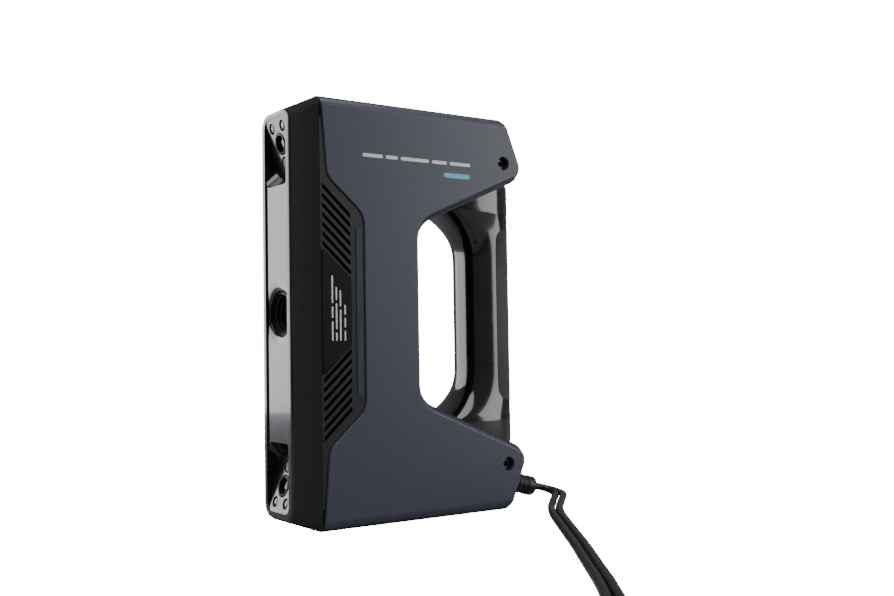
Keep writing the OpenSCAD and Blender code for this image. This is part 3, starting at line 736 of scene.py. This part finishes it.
def add_cover(name, node, side):
    corners = cover_corners()
    steps = 10
    rings = []
    for i in range(steps + 1):
        angle = math.pi / 2 * i / steps
        outline = rounded(inset(corners, [edge_depth(e, angle) for e in COVER_EDGES]))
        x = side * (PANEL_X + PANEL_T * math.sin(angle))
        rings.append([(x, y - BACK, z) for y, z in outline])
    cover = loft(name, rings)
    for z in RECESS_Z:
        at = Matrix.Translation((0, mm(RECESS_Y) - BACK, mm(z))) @ Matrix.Rotation(side * math.pi / 2, 4, "Y")
        mouth = [(0, mm(30)), (mm(4.5), mm(30)), (mm(4.5), mm(37.5)), (mm(4.8), mm(38.1)), (0, mm(38.1))]
        carve(cover, lathe("cutter", mouth, at))
        cup = [(2.75, 24.2), (6.6, 24.2), (6.6, 33.2), (4.52, 33.2), (4.52, 27), (2.75, 27)]
        boss = lathe("boss", [(mm(r), mm(h)) for r, h in cup], at)
        join(cover, boss)
    soften(cover, 0, angle=32)
    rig.replaces(cover, node)
    return finish_piece(cover, "panel_grey")


def join(piece, other):
    """Adds the other object's mesh to the piece's."""
    work = bmesh.new()
    work.from_mesh(piece.data)
    work.from_mesh(other.data)
    work.to_mesh(piece.data)
    work.free()
    bpy.data.objects.remove(other)


# --- handle ---

HANDLE_REAR = 178.5
HANDLE_FRONT = 142.5
GRIP_HALF = 17.5
SECTION_POWER = 2 / 2.8
SPINE_Z = 45
REAR_SLOPE = 0.392
FRAME_LOW = [(12.2, 0, 0.5), (156.4, 0, 6), (171.6, 38.6, 9), (84.4, 76, 18)]
FRAME_LIP = 1.3
PAD_FRONT = 161.5
PAD_LOW = 73
PANEL_WINDOW = (8.6, 196.6, 220.4, 4)
LIGHT_Z = 223.6


def flare(z):
    """How far the grip has spread into the arm at height z, in millimetres from the foot."""
    low = min(z, 267.5 - z)
    return (min(max(98 - low, 0), 36) / 27) ** 2.6


def grip_ring(z, inwards, count=96):
    low = min(z, 267.5 - z)
    rear = HANDLE_REAR - REAR_SLOPE * max(0, SPINE_Z - low) - inwards
    front = HANDLE_FRONT - 13 * flare(z) + inwards
    half_x = GRIP_HALF + 2 * flare(z) - inwards
    half_y = (rear - front) / 2
    ring = []
    for i in range(count):
        cos, sin = math.cos(2 * math.pi * i / count), math.sin(2 * math.pi * i / count)
        x = half_x * math.copysign(abs(cos) ** SECTION_POWER, cos)
        y = (rear + front) / 2 + half_y * math.copysign(abs(sin) ** SECTION_POWER, sin)
        ring.append(mm(x, y, z) - Vector((0, BACK, 0)))
    return ring


def grip_levels():
    low = [8, 20, 32, 39, 42, 45, 48, 52, 56, 59, 62, *range(64, 98, 2), 98, 104]
    return low + [267.5 - z for z in reversed(low)]


def grip_solid(name, inwards):
    return loft(name, [grip_ring(z, inwards) for z in grip_levels()])


def frame_prism():
    low = metres(FRAME_LOW)
    lips = [0] + [-mm(FRAME_LIP)] * 5 + [0, 0]
    corners = inset(low + [flipped(c) for c in reversed(low)], lips)
    return across(rounded(inset(corners, [-mm(0.1)] * 8), 10), -mm(60), mm(60))


def add_handle_half(name, node, side):
    half = grip_solid(name, 0)
    window = rounded([tuple(mm(v) for v in c) for c in box_corners(*PANEL_WINDOW)], 8)
    light = Matrix.Translation((0, mm(170) - BACK, mm(LIGHT_Z))) @ Matrix.Rotation(-math.pi / 2, 4, "X")
    hole = lathe("cutter", [(0, 0), (mm(1.6), 0), (mm(1.6), mm(20)), (0, mm(20))], light, 32)
    carve(half, frame_prism(), along_y(window, mm(171), mm(190)), hole)
    work = bmesh.new()
    work.from_mesh(half.data)
    cut = bmesh.ops.bisect_plane(
        work, geom=work.verts[:] + work.edges[:] + work.faces[:], dist=1e-7,
        plane_co=(side * mm(0.08), 0, 0), plane_no=(-side, 0, 0), clear_outer=True,
    )
    rim = [e for e in cut["geom_cut"] if isinstance(e, bmesh.types.BMEdge)]
    bmesh.ops.contextual_create(work, geom=rim)
    bmesh.ops.holes_fill(work, edges=[e for e in work.edges if e.is_boundary])
    work.to_mesh(half.data)
    work.free()
    soften(half, 0, angle=35)
    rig.replaces(half, node)
    return finish_piece(half, "gloss_black")


def add_grip_pad():
    pad = grip_solid("rubber_pad", -0.3)
    low, high, front = PAD_LOW + 0.2, 267.5 - PAD_LOW - 0.2, PAD_FRONT + 0.2
    outline = rounded(metres([(front, low, 9), (200, low, 1), (200, high, 1), (front, high, 9)]))
    carve(pad, across(outline, -mm(40), mm(40)), operation="INTERSECT")
    carve(pad, grip_solid("cutter", 1.1))
    soften(pad, mm(0.25), 2, 50)
    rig.replaces(pad, "grip_pad")
    return finish_piece(pad, "grip_rubber")


# --- marks: plain bars, with no letters ---


def add_bar(name, centre, half_long, half_wide, side, material, upright=False, slot="label_black"):
    """A printed bar with round ends, lying on a face across X."""
    thickness = mm(0.04)
    radius = half_wide * 0.98
    a, b = (half_wide, half_long) if upright else (half_long, half_wide)
    outline = rounded([(-a, -b, radius), (a, -b, radius), (a, b, radius), (-a, b, radius)], 5)
    x, y, z = centre
    rings = [[(side * (x + t), y + u, z + v) for u, v in outline] for t in (-thickness, thickness)]
    return finish_piece(loft(name, rings), slot, material)


COVER_BARS = (15, 9, 22, 12, 17)
LABEL_COLUMNS = ((19.6, (12, 7, 17)), (22.4, (5, 16, 8)), (25.2, (19, 10)), (28.4, (6, 6, 6)))


def add_marks(name, side):
    """Bars along the cover's upper edge and in columns on the label plate."""
    y = mm(42)
    for i, length in enumerate(COVER_BARS):
        half = mm(length) / 2
        at = (HALF_W, y + half - BACK, mm(232.6))
        add_bar(f"{name}_cover_bar_{i}", at, half, mm(1.1), side, PRINT_WHITE, slot="panel_grey")
        y += 2 * half + mm(2.2)
    at = (HALF_W, mm(114.5) - BACK, mm(224.6))
    add_bar(f"{name}_cyan_bar", at, mm(10.5), mm(1.6), side, PRINT_CYAN, slot="panel_grey")
    face = max(abs(c.x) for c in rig.box(f"label_plate_{name}"))
    for column, (depth, lengths) in enumerate(LABEL_COLUMNS):
        z = mm(116)
        for i, length in enumerate(lengths):
            half = mm(length) / 2
            at = (face, mm(depth) - BACK, z + half)
            add_bar(f"{name}_label_bar_{column}_{i}", at, half, mm(0.5), side, PRINT_WHITE, upright=True)
            z += 2 * half + mm(2)


# --- keys, plugs and ties ---


def raised(name, outline, y0, y1, at, body, slot, material):
    """A low sign on a key: an outline in width and height, standing out towards +Y."""
    rings = [[(at[0] + u, y, at[1] + v) for u, v in outline] for y in (y0, y1)]
    return finish_piece(loft(name, rings), slot, material, body)


def add_key_signs():
    bar = rounded([tuple(mm(v) for v in c) for c in box_corners(1.3, -0.22, 0.22, 0.15)], 4)
    stem = [(v, u) for u, v in reversed(bar)]
    for key, body, outlines in (("plus_button", "plus_key", (bar, stem)), ("minus_button", "minus_key", (bar,))):
        low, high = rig.box(key)
        at = ((low.x + high.x) / 2, (low.z + high.z) / 2)
        for i, outline in enumerate(outlines):
            raised(f"{body}_sign_{i}", outline, high.y - mm(0.1), high.y + mm(0.06), at, body, "key_dark", PRINT_WHITE)
    low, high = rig.box("scan_button")
    place = Matrix.Translation(((low.x + high.x) / 2, high.y, (low.z + high.z) / 2))
    place = place @ Matrix.Rotation(-math.pi / 2, 4, "X")
    ring = lathe("scan_key_ring", [(mm(r), mm(h)) for r, h in ((2.3, -0.1), (2.7, -0.1), (2.7, 0.06), (2.3, 0.06))], place)
    finish_piece(ring, "key_silver", PRINT_CYAN, "scan_key")


def section_loft(name, stations, place, count=40):
    """Solid through rounded-rectangle sections: (along, half width, half height, power)."""
    rings = []
    for along, half_w, half_h, power in stations:
        ring = []
        for i in range(count):
            cos, sin = math.cos(2 * math.pi * i / count), math.sin(2 * math.pi * i / count)
            y = half_w * math.copysign(abs(cos) ** (2 / power), cos)
            z = half_h * math.copysign(abs(sin) ** (2 / power), sin)
            ring.append(place @ mm(along, y, z))
        rings.append(ring)
    return loft(name, rings)


def relief_stations(start, end, big, small, ribs):
    """A tapered sleeve with grooves between its ribs."""
    stations = []
    for i in range(ribs):
        a = start + (end - start) * i / ribs
        step = (end - start) / ribs
        radius = big + (small - big) * (i + 0.5) / ribs
        stations += [(a + step * 0.08, radius), (a + step * 0.6, radius), (a + step * 0.68, radius - 0.45),
                     (a + step * 0.98, radius - 0.45)]
    return [(along, r, r, 2) for along, r in stations]


def add_usb_plug():
    place = Matrix.Translation(mm(338, -192.5, 19.6))
    body = section_loft(
        "data_plug_grip",
        [(-16, 4.6, 3.4, 2.6), (-15, 6.6, 3.9, 4), (-12, 7.6, 4, 6), (-6, 7.6, 4, 7), (-5.5, 7.3, 3.7, 7),
         (-4.4, 7.3, 3.7, 7), (-3.9, 7.6, 4, 7), (0, 7.6, 4, 7), (0.5, 7.3, 3.7, 7), (1.6, 7.3, 3.7, 7),
         (2.1, 7.6, 4, 7), (6, 7.6, 4, 7), (6.5, 7.3, 3.7, 7), (7.6, 7.3, 3.7, 7), (8.1, 7.6, 4, 7),
         (14.6, 8, 4, 7), (15.6, 7.8, 3.8, 7), (16, 7.4, 3.4, 7)],
        place,
    )
    shell = [(x, 6, 2.25, 12) for x in (15.5, 34.1, 34.4)] + [(x, 5.6, 1.85, 12) for x in (34.4, 17)]
    shell = section_loft("data_plug_shell", shell, place)
    tongue = section_loft("data_plug_tongue", [(17, 5.2, 0.8, 10), (33.2, 5.2, 0.8, 10), (33.6, 5, 0.6, 10)],
                          place @ Matrix.Translation(mm(0, 0, 0.8)))
    relief = section_loft("data_plug_relief", relief_stations(-15.8, -28, 4, 3.1, 4), place)
    for piece, slot, material in (
        (body, "plug_black", None), (shell, "plug_black", PLATED),
        (tongue, "plug_black", TONGUE_BLUE), (relief, "plug_black", None),
    ):
        soften(piece, 0, angle=32)
        finish_piece(piece, slot, material)
    for i in range(4):
        x = 24 + 0.1 * i
        pad = section_loft(f"data_plug_contact_{i}", [(x, 0.5, 0.08, 8), (x + 7, 0.5, 0.08, 8)],
                           place @ Matrix.Translation(mm(0, -3.5 + i * 7 / 3, 0)))
        finish_piece(pad, "plug_black", PLATED)
    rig.replaces(body, "usb_plug")
    return [body, shell, tongue, relief]


def add_power_plug():
    place = Matrix.Translation(mm(387.5, -136, 20.6))
    body = section_loft(
        "power_plug_grip",
        [(-16, 3.4, 3.4, 2), (-15.4, 4, 4, 2), (-12, 4.8, 4.8, 2)]
        + [s for x in (-10, -6, -2, 2, 6) for s in
           ((x, 5, 5, 2), (x + 2, 5, 5, 2), (x + 2.3, 4.6, 4.6, 2), (x + 3.3, 4.6, 4.6, 2))]
        + [(10, 5, 5, 2), (15, 5, 5, 2), (15.7, 4.8, 4.8, 2), (16, 4.4, 4.4, 2)],
        place,
    )
    turned = place @ Matrix.Rotation(math.pi / 2, 4, "Y")
    barrel = [(1.25, 15.5), (2.75, 15.5), (2.75, 25.2), (2.5, 25.5), (1.25, 25.5)]
    barrel = lathe("power_plug_barrel", [(mm(r), mm(h)) for r, h in barrel], turned, 48)
    lining = [(1.05, 17), (1.3, 17), (1.3, 25.6), (1.05, 25.6)]
    lining = lathe("power_plug_lining", [(mm(r), mm(h)) for r, h in lining], turned, 48)
    relief = section_loft("power_plug_relief", relief_stations(-15.8, -28, 3.9, 3.1, 4), place)
    for piece, material in ((body, None), (barrel, PLATED), (lining, None), (relief, None)):
        soften(piece, 0, angle=32)
        finish_piece(piece, "plug_black", material)
    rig.replaces(body, "power_plug")
    return [body, barrel, lining, relief]


def add_tie(name, node, at):
    """A strip of tape round the coil's section, its end lapped over on the outside."""
    spin = Matrix.Translation(mm(at[0], at[1], 0)) @ Matrix.Rotation(math.radians(80), 4, "Z")
    thick, half = 0.9, 3.5
    inner = [(u, z, 2.6) for u, z in ((20.7, 0.9), (37.3, 0.9), (37.3, 15.7), (20.7, 15.7))]
    outer = [(u, z, 3.4) for u, z in ((19.8, 0.05), (38.2, 0.05), (38.2, 16.7), (19.8, 16.7))]
    loops = [rounded(outline, 6) for outline in (inner, outer)]
    rings = []
    for u_v in zip(*loops):
        (iu, iz), (ou, oz) = u_v
        rings.append([spin @ mm(iu, -half, iz), spin @ mm(ou, -half, oz), spin @ mm(ou, half, oz),
                      spin @ mm(iu, half, iz)])
    strap = loft(name, rings, closed_ends=False)
    lap = [[spin @ mm(38.1, y, z), spin @ mm(38.1 + thick, y, z)] for y, z in
           ((-half, 4), (half, 4), (half, 14), (-half, 14))]
    lap = loft(f"{name}_end", [[p[0] for p in lap], [p[1] for p in lap]])
    for piece in (strap, lap):
        soften(piece, mm(0.25), 2, 40)
        finish_piece(piece, "tie_black")
    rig.replaces(strap, node)
    return [strap, lap]


def declare_leads(usb_pieces, power_pieces):
    for lead, node, pieces, side in (
        (usb_lead, "usb", usb_pieces, 1), (power_lead, "power", power_pieces, -1),
    ):
        finish_piece(lead, "lead_black")
        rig.replaces(lead, f"{node}_cord", f"{node}_coil")
        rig.cord(
            lead, exit=mm(side * 2.9, 101.5, 8.2), length=2.14, diameter=LEAD_D,
            far_end="plug" if node == "power" else "connector", stiffness="medium", lay="loose",
            with_pieces=[*pieces, NODES["gland_nut"]],
        )


# --- frame nodes ---

EDGE_WIDTHS = {
    "front_bezel": 0.35, "front_fascia": 0.2, "frame_left": 0.35, "frame_right": 0.35,
    "vent_grille_left": 0.25, "vent_grille_right": 0.25, "label_plate_left": 0.15, "label_plate_right": 0.15,
    "accent_strip_left": 0.1, "accent_strip_right": 0.1, "button_panel": 0.2, "scan_button": 0.15,
    "plus_button": 0.12, "minus_button": 0.12, "cable_gland": 0.2, "gland_nut": 0.25, "side_screws": 0.15,
    "camera_plate_upper": 0.15, "camera_plate_lower": 0.15, "heat_sink": 0.1, "optical_bench": 0.3,
}


def dress_nodes():
    """Gives every CAD node its finish and soft edges."""
    slots = {part["node"]: part["material_slot"] for part in frame["record"]["subparts"]}
    for name, node in NODES.items():
        normals = node.data.attributes.get("custom_normal")
        if normals:
            node.data.attributes.remove(normals)
        node.data.materials.clear()
        node.data.materials.append(FINISHES[slots[name]])
        node.data.polygons.foreach_set("material_index", [0] * len(node.data.polygons))
        soften(node, mm(EDGE_WIDTHS.get(name, 0)), 2, 35)


# --- studio ---

BACKDROP = 16
FLOOR_HALF = 6
WORLD_STRENGTH = 0.2


def show_white(maker, output):
    """White for the camera alone, so that the backdrop doesn't wash out the dark body."""
    end = maker.tree.nodes[output].inputs["Surface"]
    lit = Wire(maker, end.links[0].from_socket)
    white = maker.node("ShaderNodeEmission", Strength=BACKDROP)
    to_camera = maker.node("ShaderNodeLightPath", out="Is Camera Ray")
    maker.tree.links.new(maker.node("ShaderNodeMixShader", None, [to_camera, lit, white]).socket, end)


def add_floor():
    half = FLOOR_HALF
    corners = [(-half, -half, 0), (half, -half, 0), (half, half, 0), (-half, half, 0)]
    floor = add_mesh("floor", corners, [(0, 1, 2, 3)])
    f = Finish("floor_white", Roughness=0.85)
    f.feed("Base Color", f.mix(f.noise(3, 2), rgb(0.3, 0.3, 0.31), rgb(0.33, 0.33, 0.34)))
    show_white(f, "Material Output")
    floor.data.materials.append(f.material)
    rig.stage(floor)


def add_light(name, at, target, size, power, colour=(1, 1, 1)):
    data = bpy.data.lights.new(name, "AREA")
    data.shape = "RECTANGLE"
    data.size, data.size_y = size
    data.energy = power
    data.color = colour
    light = bpy.data.objects.new(name, data)
    bpy.context.scene.collection.objects.link(light)
    light.location = at
    light.rotation_euler = (Vector(target) - Vector(at)).to_track_quat("-Z", "Y").to_euler()


def add_studio():
    world = bpy.data.worlds.new("studio")
    world.use_nodes = True
    world.node_tree.nodes["Background"].inputs["Color"].default_value = (0.95, 0.96, 1, 1)
    world.node_tree.nodes["Background"].inputs["Strength"].default_value = WORLD_STRENGTH
    show_white(Nodes(world.node_tree), "World Output")
    bpy.context.scene.world = world
    middle = (0, 0, MID_Z)
    add_light("top_softbox", (0.35, -0.1, 1.3), middle, (1.1, 1.1), 14)
    add_light("front_softbox", (-0.95, -0.76, 0.2), middle, (0.9, 1.2), 12, (0.93, 0.96, 1))
    add_light("rear_softbox", (0.9, 0.95, 0.5), middle, (0.5, 1.1), 7)


dress_nodes()
add_cover("cover_left", "side_panel_left", -1)
add_cover("cover_right", "side_panel_right", 1)
add_handle_half("grip_half_left", "handle_left", -1)
add_handle_half("grip_half_right", "handle_right", 1)
add_grip_pad()
add_marks("left", -1)
add_marks("right", 1)
add_key_signs()
usb_pieces = add_usb_plug() + add_tie("data_tie", "usb_tie", USB_COIL)
power_pieces = add_power_plug() + add_tie("power_tie_tape", "power_tie", POWER_COIL)
declare_leads(usb_pieces, power_pieces)
add_floor()
add_studio()

with open("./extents.json", "w") as size_file:
    boxes = {"cad": cad_box, "visual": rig.bounds()}
    json.dump({key: [[float(v) for v in corner] for corner in box] for key, box in boxes.items()}, size_file)
